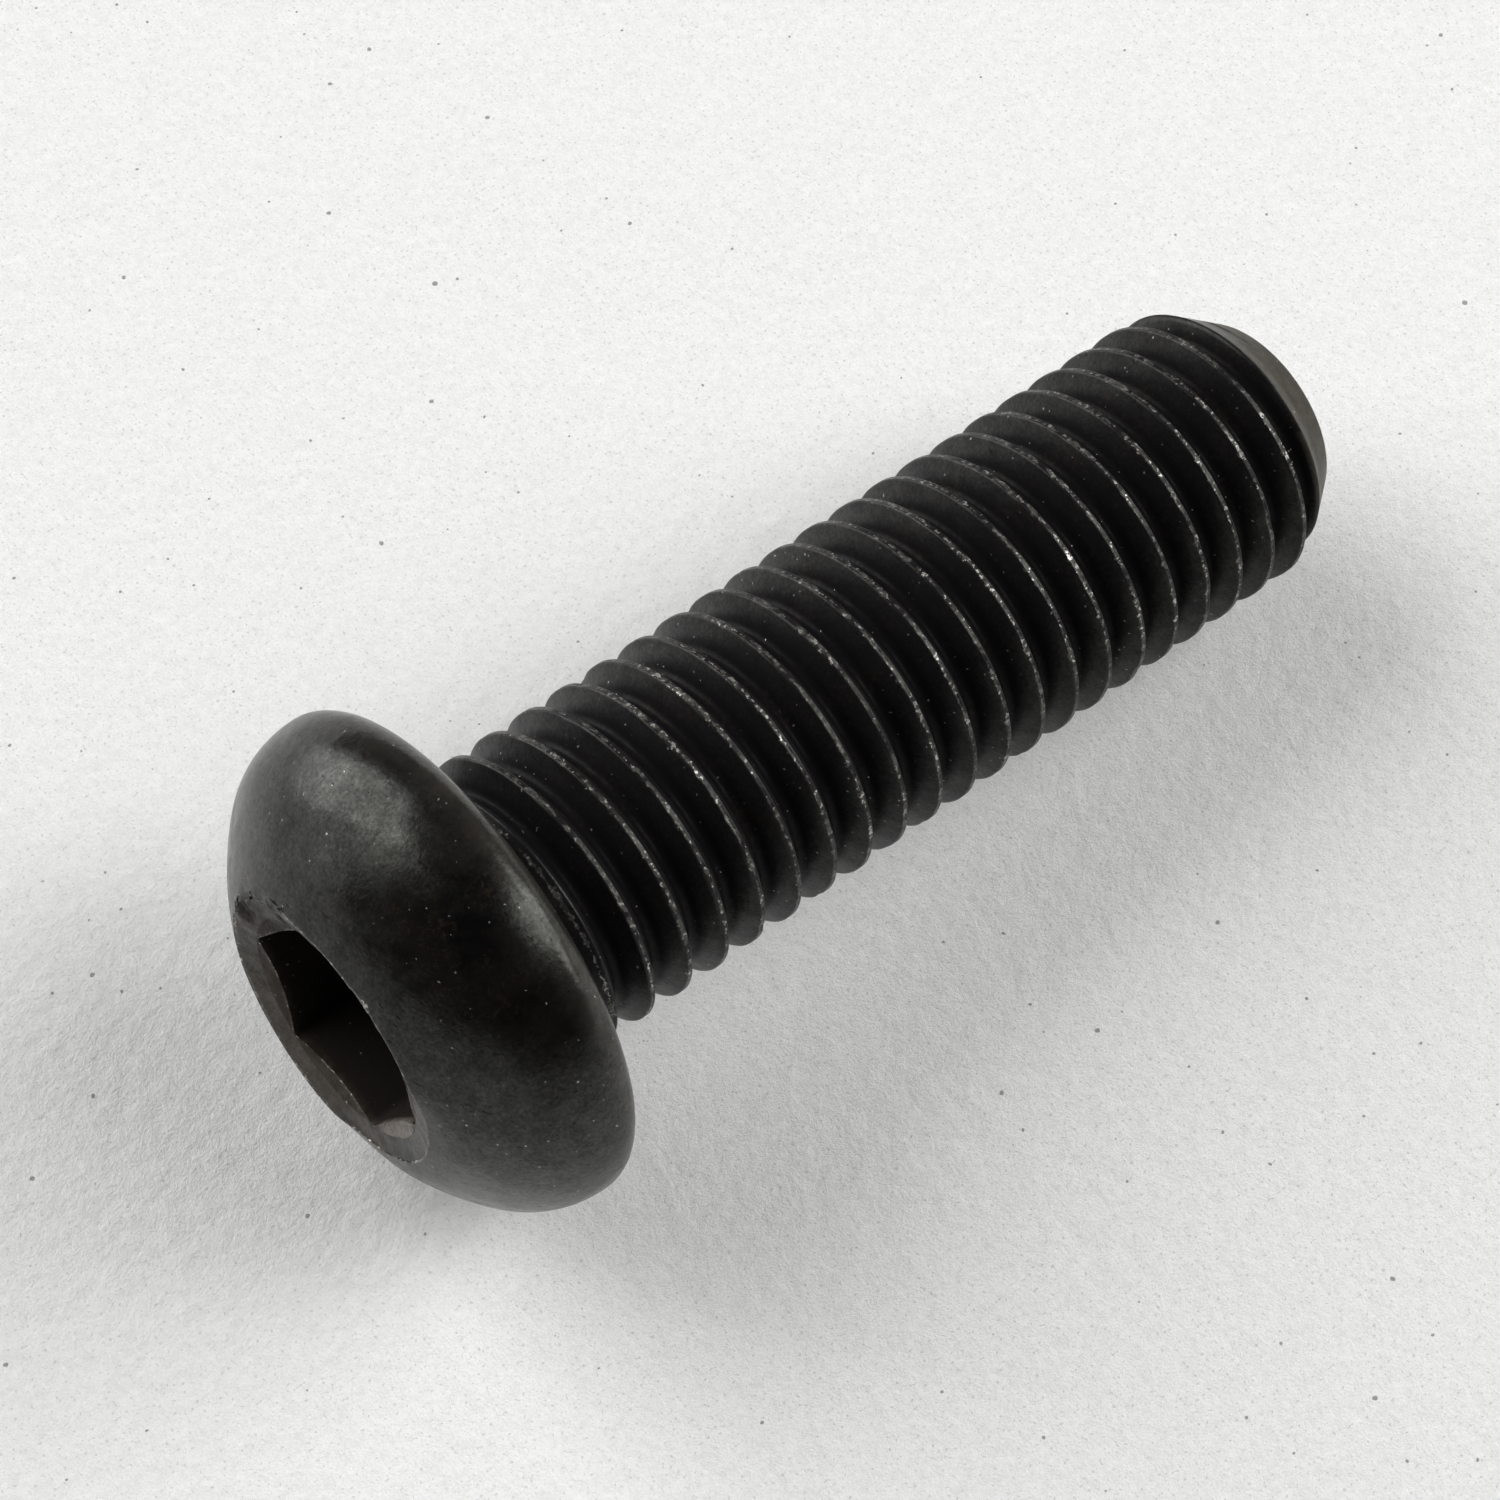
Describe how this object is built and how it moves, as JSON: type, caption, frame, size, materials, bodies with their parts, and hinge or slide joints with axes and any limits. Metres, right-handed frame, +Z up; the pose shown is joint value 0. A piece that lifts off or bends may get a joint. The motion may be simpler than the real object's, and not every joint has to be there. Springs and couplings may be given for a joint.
{
  "type": "button socket head bolt",
  "caption": "Dark oxide steel bolt with a low domed button head, a hexagon socket and a coarse metric thread over the whole shank.",
  "frame": {"origin": "centre of the flat bearing face under the head, on the bolt's axis", "axes": "+Z up, the bolt lies as it comes to rest with its tip towards +X and its axis sloping down by 6.34 degrees from head to tip"},
  "size_m": [0.0474, 0.0206, 0.0205],
  "materials": {
    "black_steel": "satin black oxide, worn to grey metal along the thread crests and round the socket"
  },
  "bodies": {
    "root": {"bolt": "black_steel"}
  },
  "joints": []
}
